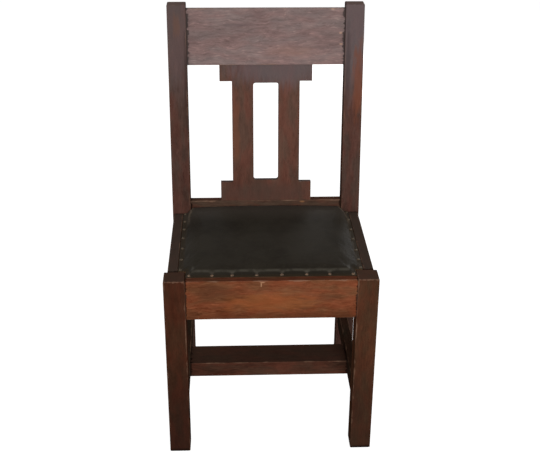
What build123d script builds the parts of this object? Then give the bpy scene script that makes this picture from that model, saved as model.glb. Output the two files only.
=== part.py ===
"""Mission side chair: an oak frame of mortise and tenon joints, with a tacked leather seat.

Millimetres, +Z up, front of the chair towards -Y, origin on the floor under the middle.
"""
import os
from math import cos, radians, tan

from build123d import *

os.makedirs("parts", exist_ok=True)

# Overall form
seat_height = 445.0          # tops of the front legs, front rail and side rails
overall_height = 937.0       # tops of the rear posts
front_width = 460.0          # across the outer faces of the front legs
rear_narrowing = 9.0         # of the width across the rear legs
leg_spacing = 343.5          # front faces of the front legs to front faces of the rear legs
back_rake = 7.0              # degrees that the posts lean back above the seat

# Legs
front_leg_size = 46.0        # square section
rear_leg_width = 43.0
rear_leg_depth = 44.0        # from the floor to the seat
post_top_depth = 32.0        # the posts thin towards their tops
arris = 1.2                  # radius worn on the long edges of the wood
leg_top_round = 3.0
post_top_round = 3.0
foot_chamfer = 4.0

# Seat rails
rail_height = 93.0
front_rail_thickness = 18.0
front_rail_setback = 0.5     # behind the front faces of the legs
side_rail_thickness = 22.0
side_rail_inset = 7.5        # inside the outer faces of the front legs
rear_rail_thickness = 20.0
rear_rail_setback = 13.0     # behind the front faces of the posts
rear_rail_rise = 27.0        # above the other rails

# Back, measured up the rake from the height of the seat
crest_thickness = 19.0
crest_setback = 10.0
crest_height = 129.0
crest_drop = 9.7             # below the tops of the posts
splat_thickness = 15.0
splat_plate_width = 216.6
splat_stile_spread = 159.0   # across the outer edges of the two stiles
slot_width = 59.0
slot_start = 79.4
slot_drop = 42.3             # below the crest rail
slot_radius = 5.5
upper_ear_height = 38.2
lower_ear_end = 74.5

# Stretchers
stretcher_base = 131.0       # undersides of all three stretchers
side_stretcher_height = 45.0
side_stretcher_thickness = 20.0
cross_stretcher_height = 36.0
cross_stretcher_depth = 75.0
cross_stretcher_setback = 112.0

# Mortise and tenon joints
tenon_thickness = 9.0
rail_tenon_length = 24.0
rear_rail_tenon_length = 21.0
crest_tenon_length = 22.0
splat_tenon_length = 15.0
cross_tenon_length = 14.0
cross_tenon_thickness = 14.0
tenon_shoulder = 10.0        # left on a board's edges beside its tenon
stretcher_shoulder = 7.0
joint_gap = 0.1              # round a tenon's faces
end_gap = 0.8                # past a tenon's end

# Loose seat frame, dropped between the rails
seat_frame_width = 45.0
seat_frame_thickness = 20.0
seat_frame_gap = 1.0         # to the rails, legs and posts
seat_frame_drop = 1.0        # its top, below the tops of the rails
seat_frame_tenon = 16.0

# Corner blocks under the seat frame
block_height = 38.0
block_reach = 40.0           # along each rail from the leg
screw_diameter = 4.0
screw_head_diameter = 8.0
screw_head_height = 2.5
screw_bite = 11.0            # into the wood past the block
block_screw_seat = 12.0      # wood left under a head
seat_screw_seat = 20.0
seat_screw_inset = 11.5      # from the leg's inner faces
screw_gap = 0.1

# Webbing and burlap
webbing_width = 50.0
webbing_thickness = 1.2
webbing_count = 3
webbing_pitch = 100.0
webbing_end_inset = 13.0     # from the outer edge of the seat frame
webbing_slope_gap = 1.0      # from a crossing to the foot of a strip's slope
webbing_end_flat = 14.0      # part of a strip's end that lies on the seat frame
burlap_thickness = 0.8

# Leather and stuffing
leather_thickness = 2.0
leather_border = 10.0        # flat strip that the tacks go through
leather_cover_gap = 0.4      # to the rear rail
leather_return = 22.0        # turned under the rear of the seat frame
pad_rise = 13.0              # leather's top above the seat frame, at the roll
pad_roll = 8.0               # radius of the rolled edge
pad_crown = 5.0
pad_crown_rear_share = 0.8   # of the crown, kept at the rear rail
pad_crown_gap = 12.0         # from the edge of the roll to the foot of the crown
pad_corner_cut = 8.0         # slanting corner beside each post
pad_gap = 0.3                # between stuffing and leather

# Tacks
tack_head_diameter = 8.0
tack_head_height = 2.2
tack_shank_diameter = 1.8
tack_shank_length = 10.0
tack_inset = 5.0             # from the edge of the leather
front_tack_margin = 7.3      # from the notch at a leg to the nearest front tack
front_tack_drift = (0, -1.0, -8.0, -6.0, -2.0, 1.0, 0, 0)  # of each front tack from an even row
side_tack_drift = {          # of each side tack from an even row, towards the rear
    "left": (0, 0, 6.5, 11.0, 9.5, 5.0, 0),
    "right": (0, -9.0, -11.0, -3.0, 1.0, 6.0, 0),
}
rear_tack_count = 6
webbing_tack_head_diameter = 5.0
webbing_tack_head_height = 0.8
webbing_tack_shank_length = 8.0
webbing_tack_spread = 32.0   # between the two tacks in a strip's end
webbing_tack_inset = 6.0     # from the end of a strip
tack_gap = 0.1

# Places that follow from the sizes above
rake_run = (overall_height - seat_height) * tan(radians(back_rake))
overall_depth = leg_spacing + rake_run + post_top_depth
front_face = -overall_depth / 2
post_front = front_face + leg_spacing
front_leg_back = front_face + front_leg_size
front_leg_inner = front_width / 2 - front_leg_size
rear_leg_outer = (front_width - rear_narrowing) / 2
rear_leg_inner = rear_leg_outer - rear_leg_width
rail_base = seat_height - rail_height
side_rail_outer = front_width / 2 - side_rail_inset
side_rail_inner = side_rail_outer - side_rail_thickness
front_rail_front = front_face + front_rail_setback
front_rail_back = front_rail_front + front_rail_thickness
rear_rail_front = post_front + rear_rail_setback
rear_rail_back = rear_rail_front + rear_rail_thickness
rear_rail_top = seat_height + rear_rail_rise
crest_end = (overall_height - seat_height) / cos(radians(back_rake)) - crest_drop
crest_start = crest_end - crest_height
upper_ear_start = crest_start - upper_ear_height
slot_end = crest_start - slot_drop
splat_setback = crest_setback + (crest_thickness - splat_thickness) / 2
back_plane = Plane(
    origin=(0, post_front, seat_height),
    x_dir=(1, 0, 0),
    z_dir=Vector(0, -1, 0).rotate(Axis.X, -back_rake),
)


def block(x, y, z, mode=Mode.ADD):
    """Square block between two faces along each of X, Y and Z."""
    with BuildSketch(Plane.XY.offset(z[0])) as outline:
        with Locations(((x[0] + x[1]) / 2, (y[0] + y[1]) / 2)):
            Rectangle(x[1] - x[0], y[1] - y[0])
    extrude(outline.sketch, amount=z[1] - z[0], mode=mode)


def raked_block(x, v, s, mode=Mode.ADD):
    """Block across X, up the rake from the seat, and back from the posts' front faces."""
    with BuildSketch(back_plane.offset(-s[0])) as outline:
        with Locations(((x[0] + x[1]) / 2, (v[0] + v[1]) / 2)):
            Rectangle(x[1] - x[0], v[1] - v[0])
    extrude(outline.sketch, amount=s[0] - s[1], mode=mode)


def rod(plane, places, diameter, length, mode=Mode.ADD):
    """Round rods that start on a plane and run along its normal."""
    with BuildSketch(plane) as outline:
        with Locations(*places):
            Circle(diameter / 2)
    extrude(outline.sketch, amount=length, mode=mode)


def side_faces(side, inner, outer):
    """Two X faces on one side of the chair, the lower one first."""
    return tuple(sorted((side * inner, side * outer)))


def middle(low, high, thickness):
    """Two faces of a tenon centred between the faces of its board."""
    return (low + high - thickness) / 2, (low + high + thickness) / 2


def grown(faces, gap):
    """Two faces moved apart by a gap at each."""
    return faces[0] - gap, faces[1] + gap


def finish(piece, name):
    """Label a finished piece and write its file."""
    piece.part.label = name
    export_step(piece.part, f"parts/{name}.step")


sides = ((-1, "left"), (1, "right"))

# Places of the tenons, shared by each tenon and its mortise
rail_tenon_z = (rail_base + tenon_shoulder, seat_height - tenon_shoulder)
front_tenon_y = middle(front_rail_front, front_rail_back, tenon_thickness)
side_tenon_x = middle(side_rail_inner, side_rail_outer, tenon_thickness)
rear_tenon_y = middle(rear_rail_front, rear_rail_back, tenon_thickness)
side_stretcher_inner = front_leg_inner
side_stretcher_outer = side_stretcher_inner + side_stretcher_thickness
stretcher_tenon_x = middle(side_stretcher_inner, side_stretcher_outer, tenon_thickness)
stretcher_tenon_z = (
    stretcher_base + stretcher_shoulder,
    stretcher_base + side_stretcher_height - stretcher_shoulder,
)
crest_tenon_s = middle(crest_setback, crest_setback + crest_thickness, tenon_thickness)
crest_tenon_v = (crest_start + tenon_shoulder, crest_end - tenon_shoulder)
cross_front = front_face + cross_stretcher_setback
cross_y = (cross_front, cross_front + cross_stretcher_depth)
cross_tenon_y = (cross_y[0] + tenon_shoulder, cross_y[1] - tenon_shoulder)
cross_tenon_z = middle(stretcher_base, stretcher_base + cross_stretcher_height, cross_tenon_thickness)
splat_tenon_x = (tenon_shoulder - splat_plate_width / 2, splat_plate_width / 2 - tenon_shoulder)
splat_tenon_y = middle(rear_rail_front, rear_rail_back, tenon_thickness)

# Places of the seat frame, which is notched round the legs and posts
frame_outer = side_rail_inner - seat_frame_gap
frame_inner = frame_outer - seat_frame_width
frame_front = front_rail_back + seat_frame_gap
frame_rear = rear_rail_front - leather_cover_gap - leather_thickness
frame_top = seat_height - seat_frame_drop
frame_z = (frame_top - seat_frame_thickness, frame_top)
front_member_back = frame_front + seat_frame_width
rear_member_front = frame_rear - seat_frame_width
frame_tenon_z = middle(*frame_z, seat_frame_thickness / 3)
leg_notch_x = front_leg_inner - seat_frame_gap
leg_notch_y = front_leg_back + seat_frame_gap
post_notch_x = rear_leg_inner - seat_frame_gap
post_notch_y = post_front - seat_frame_gap
frame_tenon_x = (frame_inner + tenon_shoulder, frame_outer - tenon_shoulder)

# Places of the leather tacks, on the flat border of the leather
tack_x = frame_outer - tack_inset
front_tack_y = frame_front + tack_inset
front_tack_end = leg_notch_x - front_tack_margin
front_tack_step = 2 * front_tack_end / (len(front_tack_drift) - 1)
front_tacks = [
    (number * front_tack_step - front_tack_end + drift, front_tack_y)
    for number, drift in enumerate(front_tack_drift)
]
first_side_tack = leg_notch_y + leather_border - tack_inset
last_side_tack = post_notch_y - leather_border + tack_inset
side_tacks = {}
for side, name in sides:
    side_tack_step = (last_side_tack - first_side_tack) / (len(side_tack_drift[name]) - 1)
    side_tacks[name] = [
        (side * tack_x, first_side_tack + number * side_tack_step + drift)
        for number, drift in enumerate(side_tack_drift[name])
    ]
return_half = rear_leg_inner - block_reach - seat_frame_gap
rear_tack_step = 2 * (return_half - leather_border) / (rear_tack_count - 1)
rear_tacks = [
    (leather_border - return_half + number * rear_tack_step, frame_rear - leather_return / 2)
    for number in range(rear_tack_count)
]

# Places of the webbing strips and of the tacks in their ends
strip_centres = [
    (number - (webbing_count - 1) / 2) * webbing_pitch for number in range(webbing_count)
]
frame_middle_y = (frame_front + frame_rear) / 2
long_ends = (frame_front + webbing_end_inset, frame_rear - webbing_end_inset)
cross_ends = (webbing_end_inset - frame_outer, frame_outer - webbing_end_inset)
webbing_tacks = []
for strip_centre in strip_centres:
    for offset in (-webbing_tack_spread / 2, webbing_tack_spread / 2):
        webbing_tacks.append((strip_centre + offset, long_ends[0] + webbing_tack_inset))
        webbing_tacks.append((strip_centre + offset, long_ends[1] - webbing_tack_inset))
        strip_y = frame_middle_y + strip_centre + offset
        webbing_tacks.append((cross_ends[0] + webbing_tack_inset, strip_y))
        webbing_tacks.append((cross_ends[1] - webbing_tack_inset, strip_y))

# Places of the screws that come up through the corner blocks into the seat frame
seat_screws = []
for side, name in sides:
    seat_screws.append((side * (front_leg_inner - seat_screw_inset), front_leg_back))
    seat_screws.append((side * (rear_leg_inner - seat_screw_inset), post_front))
block_top = frame_z[0]
block_base = block_top - block_height

# Holes for tacks and screws
tack_hole = tack_shank_diameter + 2 * tack_gap
tack_depth = tack_shank_length + end_gap
webbing_tack_depth = webbing_tack_shank_length + end_gap
screw_hole = screw_diameter + 2 * screw_gap
pocket = screw_head_diameter + 2 * screw_gap

# Places of the corner blocks: each corner gives its name, its side, the leg's inner faces,
# the end rail's inner face and the way along Y to the middle of the chair
corners = []
for side, name in sides:
    corners.append((f"front_{name}", side, front_leg_inner, front_leg_back, front_rail_back, 1))
    corners.append((f"rear_{name}", side, rear_leg_inner, post_front, rear_rail_front, -1))
block_middle_z = block_base + block_height / 2


def side_screw_plane(side, distance, leg_y, way):
    """Plane across the screw that runs out through a corner block into the side rail."""
    return Plane(
        origin=(side * (side_rail_inner - distance), leg_y + way * block_reach / 2, block_middle_z),
        x_dir=(0, 1, 0),
        z_dir=(side, 0, 0),
    )


def end_screw_plane(side, distance, leg_x, rail_y, way):
    """Plane across the screw that runs through a corner block into the front or rear rail."""
    return Plane(
        origin=(side * (leg_x - block_reach / 2), rail_y + way * distance, block_middle_z),
        x_dir=(1, 0, 0),
        z_dir=(0, -way, 0),
    )


on_axis = [(0, 0)]


def block_screw_holes():
    """Holes in a seat rail for the corner block screws that reach it."""
    for name, side, leg_x, leg_y, rail_y, way in corners:
        for screw_plane in (
            side_screw_plane(side, 0, leg_y, way),
            end_screw_plane(side, 0, leg_x, rail_y, way),
        ):
            rod(screw_plane, on_axis, screw_hole, screw_bite + end_gap, Mode.SUBTRACT)


# Front legs, square posts with mortises for the front rail, side rail and stretcher
for side, name in sides:
    with BuildPart() as front_leg:
        block(
            side_faces(side, front_leg_inner, front_width / 2),
            (front_face, front_leg_back),
            (0, seat_height),
        )
        chamfer(front_leg.faces().sort_by(Axis.Z)[0].edges(), foot_chamfer)
        fillet(front_leg.edges().filter_by(Axis.Z), arris)
        fillet(front_leg.faces().sort_by(Axis.Z)[-1].edges(), leg_top_round)
        block(
            side_faces(side, front_leg_inner, front_leg_inner + rail_tenon_length + end_gap),
            grown(front_tenon_y, joint_gap),
            grown(rail_tenon_z, joint_gap),
            mode=Mode.SUBTRACT,
        )
        for tenon_x, tenon_z in (
            (side_tenon_x, rail_tenon_z),
            (stretcher_tenon_x, stretcher_tenon_z),
        ):
            block(
                side_faces(side, *grown(tenon_x, joint_gap)),
                (front_leg_back - rail_tenon_length - end_gap, front_leg_back),
                grown(tenon_z, joint_gap),
                mode=Mode.SUBTRACT,
            )
    finish(front_leg, f"front_leg_{name}")

# Rear legs, one piece each from floor to top, upright to the seat and raked above it
for side, name in sides:
    leg_x = side_faces(side, rear_leg_inner, rear_leg_outer)
    with BuildPart() as rear_leg:
        with BuildSketch(Plane.YZ.offset(leg_x[0])):
            with BuildLine():
                Polyline(
                    (post_front, 0),
                    (post_front, seat_height),
                    (post_front + rake_run, overall_height),
                    (post_front + rake_run + post_top_depth, overall_height),
                    (post_front + rear_leg_depth, seat_height),
                    (post_front + rear_leg_depth, 0),
                    close=True,
                )
            make_face()
        extrude(amount=rear_leg_width)
        chamfer(rear_leg.faces().sort_by(Axis.Z)[0].edges(), foot_chamfer)
        fillet(rear_leg.faces().sort_by(Axis.Z)[-1].edges(), post_top_round)
        fillet(rear_leg.edges().filter_by(lambda edge: edge.length > rear_leg_width), arris)
        block(
            side_faces(side, *grown(side_tenon_x, joint_gap)),
            (post_front, post_front + rail_tenon_length + end_gap),
            grown(rail_tenon_z, joint_gap),
            mode=Mode.SUBTRACT,
        )
        block(
            side_faces(side, *grown(stretcher_tenon_x, joint_gap)),
            (post_front, post_front + rail_tenon_length + end_gap),
            grown(stretcher_tenon_z, joint_gap),
            mode=Mode.SUBTRACT,
        )
        block(
            side_faces(side, rear_leg_inner, rear_leg_inner + rear_rail_tenon_length + end_gap),
            grown(rear_tenon_y, joint_gap),
            grown(rail_tenon_z, joint_gap),
            mode=Mode.SUBTRACT,
        )
        raked_block(
            side_faces(side, rear_leg_inner, rear_leg_inner + crest_tenon_length + end_gap),
            grown(crest_tenon_v, joint_gap),
            grown(crest_tenon_s, joint_gap),
            mode=Mode.SUBTRACT,
        )
    finish(rear_leg, f"rear_leg_{name}")

# Front seat rail, flush with the leg tops, tenoned into both front legs
with BuildPart() as front_seat_rail:
    block(
        (-front_leg_inner, front_leg_inner),
        (front_rail_front, front_rail_back),
        (rail_base, seat_height),
    )
    fillet(front_seat_rail.edges().filter_by(Axis.X), arris)
    block(
        (-front_leg_inner - rail_tenon_length, front_leg_inner + rail_tenon_length),
        front_tenon_y,
        rail_tenon_z,
    )
    block_screw_holes()
finish(front_seat_rail, "front_seat_rail")

# Rear seat rail, higher than the others, with the splat's mortise in its top
with BuildPart() as rear_seat_rail:
    block(
        (-rear_leg_inner, rear_leg_inner),
        (rear_rail_front, rear_rail_back),
        (rail_base, rear_rail_top),
    )
    fillet(rear_seat_rail.edges().filter_by(Axis.X), arris)
    block(
        (-rear_leg_inner - rear_rail_tenon_length, rear_leg_inner + rear_rail_tenon_length),
        rear_tenon_y,
        rail_tenon_z,
    )
    block(
        grown(splat_tenon_x, joint_gap),
        grown(splat_tenon_y, joint_gap),
        (rear_rail_top - splat_tenon_length - end_gap, rear_rail_top),
        mode=Mode.SUBTRACT,
    )
    block_screw_holes()
finish(rear_seat_rail, "rear_seat_rail")

# Side seat rails, set in from the legs' outer faces
for side, name in sides:
    with BuildPart() as side_seat_rail:
        block(
            side_faces(side, side_rail_inner, side_rail_outer),
            (front_leg_back, post_front),
            (rail_base, seat_height),
        )
        fillet(side_seat_rail.edges().filter_by(Axis.Y), arris)
        block(
            side_faces(side, *side_tenon_x),
            (front_leg_back - rail_tenon_length, post_front + rail_tenon_length),
            rail_tenon_z,
        )
        block_screw_holes()
    finish(side_seat_rail, f"side_seat_rail_{name}")

# Crest rail, one wide board in the raked plane, with the splat's mortise in its lower edge
with BuildPart() as crest_rail:
    raked_block(
        (-rear_leg_inner, rear_leg_inner),
        (crest_start, crest_end),
        (crest_setback, crest_setback + crest_thickness),
    )
    fillet(crest_rail.edges().filter_by(Axis.X), arris)
    raked_block(
        (-rear_leg_inner - crest_tenon_length, rear_leg_inner + crest_tenon_length),
        crest_tenon_v,
        crest_tenon_s,
    )
    raked_block(
        grown(splat_tenon_x, joint_gap),
        (crest_start, crest_start + splat_tenon_length + end_gap),
        grown(crest_tenon_s, joint_gap),
        mode=Mode.SUBTRACT,
    )
finish(crest_rail, "crest_rail")

# Back splat, one pierced board with stepped ears, tenoned into the crest rail and the rear rail
splat_half = splat_plate_width / 2
stile_half = splat_stile_spread / 2
with BuildPart() as back_splat:
    with BuildSketch(back_plane.offset(-splat_setback)):
        with BuildLine():
            Polyline(
                (-splat_half, 0),
                (-splat_half, lower_ear_end),
                (-stile_half, lower_ear_end),
                (-stile_half, upper_ear_start),
                (-splat_half, upper_ear_start),
                (-splat_half, crest_start),
                (splat_half, crest_start),
                (splat_half, upper_ear_start),
                (stile_half, upper_ear_start),
                (stile_half, lower_ear_end),
                (splat_half, lower_ear_end),
                (splat_half, 0),
                close=True,
            )
        make_face()
        with Locations((0, (slot_start + slot_end) / 2)):
            RectangleRounded(slot_width, slot_end - slot_start, slot_radius, mode=Mode.SUBTRACT)
    extrude(amount=-splat_thickness)
    raked_block(
        splat_tenon_x,
        (crest_start, crest_start + splat_tenon_length),
        crest_tenon_s,
    )
    split(bisect_by=Plane.XY.offset(rear_rail_top), keep=Keep.TOP)
    block(splat_tenon_x, splat_tenon_y, (rear_rail_top - splat_tenon_length, rear_rail_top))
finish(back_splat, "back_splat")

# Side stretchers, on edge between the legs, each with a mortise for the cross stretcher
for side, name in sides:
    with BuildPart() as side_stretcher:
        block(
            side_faces(side, side_stretcher_inner, side_stretcher_outer),
            (front_leg_back, post_front),
            (stretcher_base, stretcher_base + side_stretcher_height),
        )
        fillet(side_stretcher.edges().filter_by(Axis.Y), arris)
        block(
            side_faces(side, *stretcher_tenon_x),
            (front_leg_back - rail_tenon_length, post_front + rail_tenon_length),
            stretcher_tenon_z,
        )
        block(
            side_faces(side, side_stretcher_inner, side_stretcher_inner + cross_tenon_length + end_gap),
            grown(cross_tenon_y, joint_gap),
            grown(cross_tenon_z, joint_gap),
            mode=Mode.SUBTRACT,
        )
    finish(side_stretcher, f"side_stretcher_{name}")

# Cross stretcher, laid flat between the side stretchers
with BuildPart() as cross_stretcher:
    block(
        (-side_stretcher_inner, side_stretcher_inner),
        cross_y,
        (stretcher_base, stretcher_base + cross_stretcher_height),
    )
    fillet(cross_stretcher.edges().filter_by(Axis.X), arris)
    block(
        (-side_stretcher_inner - cross_tenon_length, side_stretcher_inner + cross_tenon_length),
        cross_tenon_y,
        cross_tenon_z,
    )
finish(cross_stretcher, "cross_stretcher")

leather_top_tacks = front_tacks + side_tacks["left"] + side_tacks["right"]


def tack_holes():
    """Holes in a seat frame piece for every tack and screw that reaches it."""
    top = Plane.XY.offset(frame_top)
    underside = Plane.XY.offset(frame_z[0])
    rod(top, leather_top_tacks, tack_hole, -tack_depth, Mode.SUBTRACT)
    rod(top, webbing_tacks, tack_hole, -webbing_tack_depth, Mode.SUBTRACT)
    rod(underside, rear_tacks, tack_hole, tack_depth, Mode.SUBTRACT)
    rod(underside, seat_screws, screw_hole, screw_bite + end_gap, Mode.SUBTRACT)


# Front piece of the seat frame, notched round both front legs
with BuildPart() as seat_frame_front:
    block((-frame_outer, frame_outer), (frame_front, front_member_back), frame_z)
    for side, name in sides:
        block(
            side_faces(side, leg_notch_x, frame_outer),
            (frame_front, leg_notch_y),
            frame_z,
            mode=Mode.SUBTRACT,
        )
        block(
            side_faces(side, *grown(frame_tenon_x, joint_gap)),
            (front_member_back - seat_frame_tenon - end_gap, front_member_back),
            grown(frame_tenon_z, joint_gap),
            mode=Mode.SUBTRACT,
        )
    tack_holes()
finish(seat_frame_front, "seat_frame_front")

# Rear piece of the seat frame, notched round both posts
with BuildPart() as seat_frame_rear:
    block((-frame_outer, frame_outer), (rear_member_front, frame_rear), frame_z)
    for side, name in sides:
        block(
            side_faces(side, post_notch_x, frame_outer),
            (post_notch_y, frame_rear),
            frame_z,
            mode=Mode.SUBTRACT,
        )
        block(
            side_faces(side, *grown(frame_tenon_x, joint_gap)),
            (rear_member_front, rear_member_front + seat_frame_tenon + end_gap),
            grown(frame_tenon_z, joint_gap),
            mode=Mode.SUBTRACT,
        )
    tack_holes()
finish(seat_frame_rear, "seat_frame_rear")

# Side pieces of the seat frame, with stub tenons into the front and rear pieces
for side, name in sides:
    with BuildPart() as seat_frame_side:
        block(
            side_faces(side, frame_inner, frame_outer),
            (front_member_back, rear_member_front),
            frame_z,
        )
        block(
            side_faces(side, *frame_tenon_x),
            (front_member_back - seat_frame_tenon, rear_member_front + seat_frame_tenon),
            frame_tenon_z,
        )
        tack_holes()
    finish(seat_frame_side, f"seat_frame_{name}")

# Corner blocks, glued and screwed into the four corners
for name, side, leg_x, leg_y, rail_y, way in corners:
    with BuildPart() as corner_block:
        with BuildSketch(Plane.XY.offset(block_base)):
            with BuildLine():
                Polyline(
                    (side * side_rail_inner, leg_y),
                    (side * side_rail_inner, leg_y + way * block_reach),
                    (side * (leg_x - block_reach), rail_y),
                    (side * leg_x, rail_y),
                    (side * leg_x, leg_y),
                    close=True,
                )
            make_face()
        extrude(amount=block_height)
        for screw_plane in (
            side_screw_plane(side, block_screw_seat, leg_y, way),
            end_screw_plane(side, block_screw_seat, leg_x, rail_y, way),
        ):
            rod(screw_plane, on_axis, screw_hole, block_screw_seat, Mode.SUBTRACT)
            rod(screw_plane, on_axis, pocket, -block_reach, Mode.SUBTRACT)
        screw_seat_plane = Plane.XY.offset(block_top - seat_screw_seat)
        rod(screw_seat_plane, seat_screws, screw_hole, seat_screw_seat, Mode.SUBTRACT)
        rod(screw_seat_plane, seat_screws, pocket, -block_height, Mode.SUBTRACT)
    finish(corner_block, f"corner_block_{name}")

# Screws of the corner blocks, two in each block, countersunk into pockets
with BuildPart() as corner_block_screws:
    for name, side, leg_x, leg_y, rail_y, way in corners:
        for screw_plane in (
            side_screw_plane(side, block_screw_seat, leg_y, way),
            end_screw_plane(side, block_screw_seat, leg_x, rail_y, way),
        ):
            rod(screw_plane, on_axis, screw_diameter, block_screw_seat + screw_bite)
            rod(screw_plane, on_axis, screw_head_diameter, -screw_head_height)
finish(corner_block_screws, "corner_block_screws")

# Screws that hold the seat frame down, up through the corner blocks
with BuildPart() as seat_frame_screws:
    screw_seat_plane = Plane.XY.offset(block_top - seat_screw_seat)
    rod(screw_seat_plane, seat_screws, screw_diameter, seat_screw_seat + screw_bite)
    rod(screw_seat_plane, seat_screws, screw_head_diameter, -screw_head_height)
finish(seat_frame_screws, "seat_frame_screws")


def strip_outline(ends, crossings):
    """Side view of a webbing strip that rises over some of the strips that it crosses."""
    half = webbing_width / 2 + webbing_slope_gap
    line = [(ends[0], frame_top), (ends[0] + webbing_end_flat, frame_top)]
    for place, over in crossings:
        height = frame_top + (webbing_thickness if over else 0)
        line += [(place - half, height), (place + half, height)]
    line += [(ends[1] - webbing_end_flat, frame_top), (ends[1], frame_top)]
    return line + [(place, height + webbing_thickness) for place, height in reversed(line)]


# Webbing strips, woven over and under, three from front to back and three from side to side
for row, centre_x in enumerate(strip_centres):
    crossings = [
        (frame_middle_y + centre_y, (row + column) % 2 == 0)
        for column, centre_y in enumerate(strip_centres)
    ]
    with BuildPart() as webbing_strip:
        with BuildSketch(Plane.YZ.offset(centre_x - webbing_width / 2)):
            with BuildLine():
                Polyline(*strip_outline(long_ends, crossings), close=True)
            make_face()
        extrude(amount=webbing_width)
        rod(Plane.XY.offset(frame_top), webbing_tacks, tack_hole, webbing_thickness, Mode.SUBTRACT)
    finish(webbing_strip, f"webbing_long_{row + 1}")

for column, centre_y in enumerate(strip_centres):
    crossings = [
        (centre_x, (row + column) % 2 == 1) for row, centre_x in enumerate(strip_centres)
    ]
    with BuildPart() as webbing_strip:
        with BuildSketch(Plane.XZ.offset(-frame_middle_y - centre_y - webbing_width / 2)):
            with BuildLine():
                Polyline(*strip_outline(cross_ends, crossings), close=True)
            make_face()
        extrude(amount=webbing_width)
        rod(Plane.XY.offset(frame_top), webbing_tacks, tack_hole, webbing_thickness, Mode.SUBTRACT)
    finish(webbing_strip, f"webbing_cross_{column + 1}")

# Tacks in the ends of the webbing
with BuildPart() as webbing_tack_group:
    webbing_top = Plane.XY.offset(frame_top + webbing_thickness)
    rod(
        webbing_top,
        webbing_tacks,
        tack_shank_diameter,
        -webbing_tack_shank_length - webbing_thickness,
    )
    rod(webbing_top, webbing_tacks, webbing_tack_head_diameter, webbing_tack_head_height)
finish(webbing_tack_group, "webbing_tacks")


def pad_points(inset):
    """Outline of the raised seat, notched at the legs and cut across the corners at the posts."""
    side_x = frame_outer - leather_border - inset
    leg_x = leg_notch_x - leather_border - inset
    post_x = post_notch_x - leather_border - pad_corner_cut - inset
    front_y = frame_front + leather_border + inset
    leg_y = leg_notch_y + leather_border + inset
    post_y = post_notch_y - leather_border - pad_corner_cut - inset
    rear_y = frame_rear + leather_thickness - inset
    right = [(leg_x, front_y), (leg_x, leg_y), (side_x, leg_y), (side_x, post_y), (post_x, rear_y)]
    return right + [(-x, y) for x, y in reversed(right)]


def crowned_form(inset, base):
    """Raised form of the seat, with rolled upper edges and a low crown."""
    top = frame_top + pad_rise - inset
    crown_x = leg_notch_x - leather_border - pad_crown_gap - inset
    crown_front = frame_front + leather_border + pad_crown_gap + inset
    crown_rear = frame_rear + leather_thickness - pad_roll - inset
    crown_middle = (crown_front + crown_rear) / 2
    crown_base = top - pad_crown / 2
    rear_crown = pad_crown * pad_crown_rear_share
    with BuildPart() as crown:
        with BuildSketch(Plane.XZ.offset(-crown_rear)):
            with BuildLine():
                Polyline((crown_x, top), (crown_x, crown_base), (-crown_x, crown_base), (-crown_x, top))
                ThreePointArc((-crown_x, top), (0, top + pad_crown), (crown_x, top))
            make_face()
        extrude(amount=crown_rear - crown_front)
        with BuildSketch(Plane.YZ.offset(-crown_x)):
            with BuildLine():
                Polyline(
                    (crown_rear, top + rear_crown),
                    (crown_rear, crown_base),
                    (crown_front, crown_base),
                    (crown_front, top),
                )
                ThreePointArc(
                    (crown_front, top),
                    (crown_middle, top + pad_crown),
                    (crown_rear, top + rear_crown),
                )
            make_face()
        extrude(amount=2 * crown_x, mode=Mode.INTERSECT)
    with BuildPart() as form:
        with BuildSketch(Plane.XY.offset(base)):
            with BuildLine():
                Polyline(*pad_points(inset), close=True)
            make_face()
        extrude(amount=top - base)
        fillet(form.faces().sort_by(Axis.Z)[-1].edges(), pad_roll - inset)
        add(crown.part)
    return form.part


# Burlap over the webbing, and the stuffing on it
burlap_base = frame_top + 2 * webbing_thickness
burlap_top = burlap_base + burlap_thickness
pad_inset = leather_thickness + pad_gap
with BuildPart() as seat_burlap:
    with BuildSketch(Plane.XY.offset(burlap_base)):
        with BuildLine():
            Polyline(*pad_points(pad_inset), close=True)
        make_face()
    extrude(amount=burlap_thickness)
finish(seat_burlap, "seat_burlap")

stuffing_form = crowned_form(pad_inset, burlap_top)
with BuildPart() as seat_padding:
    add(stuffing_form)
finish(seat_padding, "seat_padding")

# Leather, a flat tacked border round the crowned seat, turned down and under at the rear
outer_form = crowned_form(0, frame_top)
inner_form = crowned_form(leather_thickness, frame_top)
leather_rear = frame_rear + leather_thickness
border_z = (frame_top, frame_top + leather_thickness)
with BuildPart() as seat_leather:
    block((-frame_outer, frame_outer), (frame_front, leather_rear), border_z)
    for side, name in sides:
        leg_corner_x = side_faces(side, leg_notch_x, frame_outer)
        post_corner_x = side_faces(side, post_notch_x, frame_outer)
        block(leg_corner_x, (frame_front, leg_notch_y), border_z, mode=Mode.SUBTRACT)
        block(post_corner_x, (post_notch_y, leather_rear), border_z, mode=Mode.SUBTRACT)
    add(outer_form)
    add(inner_form, mode=Mode.SUBTRACT)
    block((-post_notch_x, post_notch_x), (frame_rear, leather_rear), (frame_z[0], frame_top))
    block(
        (-return_half, return_half),
        (frame_rear - leather_return, leather_rear),
        (frame_z[0] - leather_thickness, frame_z[0]),
    )
    rod(
        Plane.XY.offset(frame_top),
        leather_top_tacks,
        tack_hole,
        leather_thickness,
        Mode.SUBTRACT,
    )
    rod(Plane.XY.offset(frame_z[0]), rear_tacks, tack_hole, -leather_thickness, Mode.SUBTRACT)
finish(seat_leather, "seat_leather")

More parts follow.
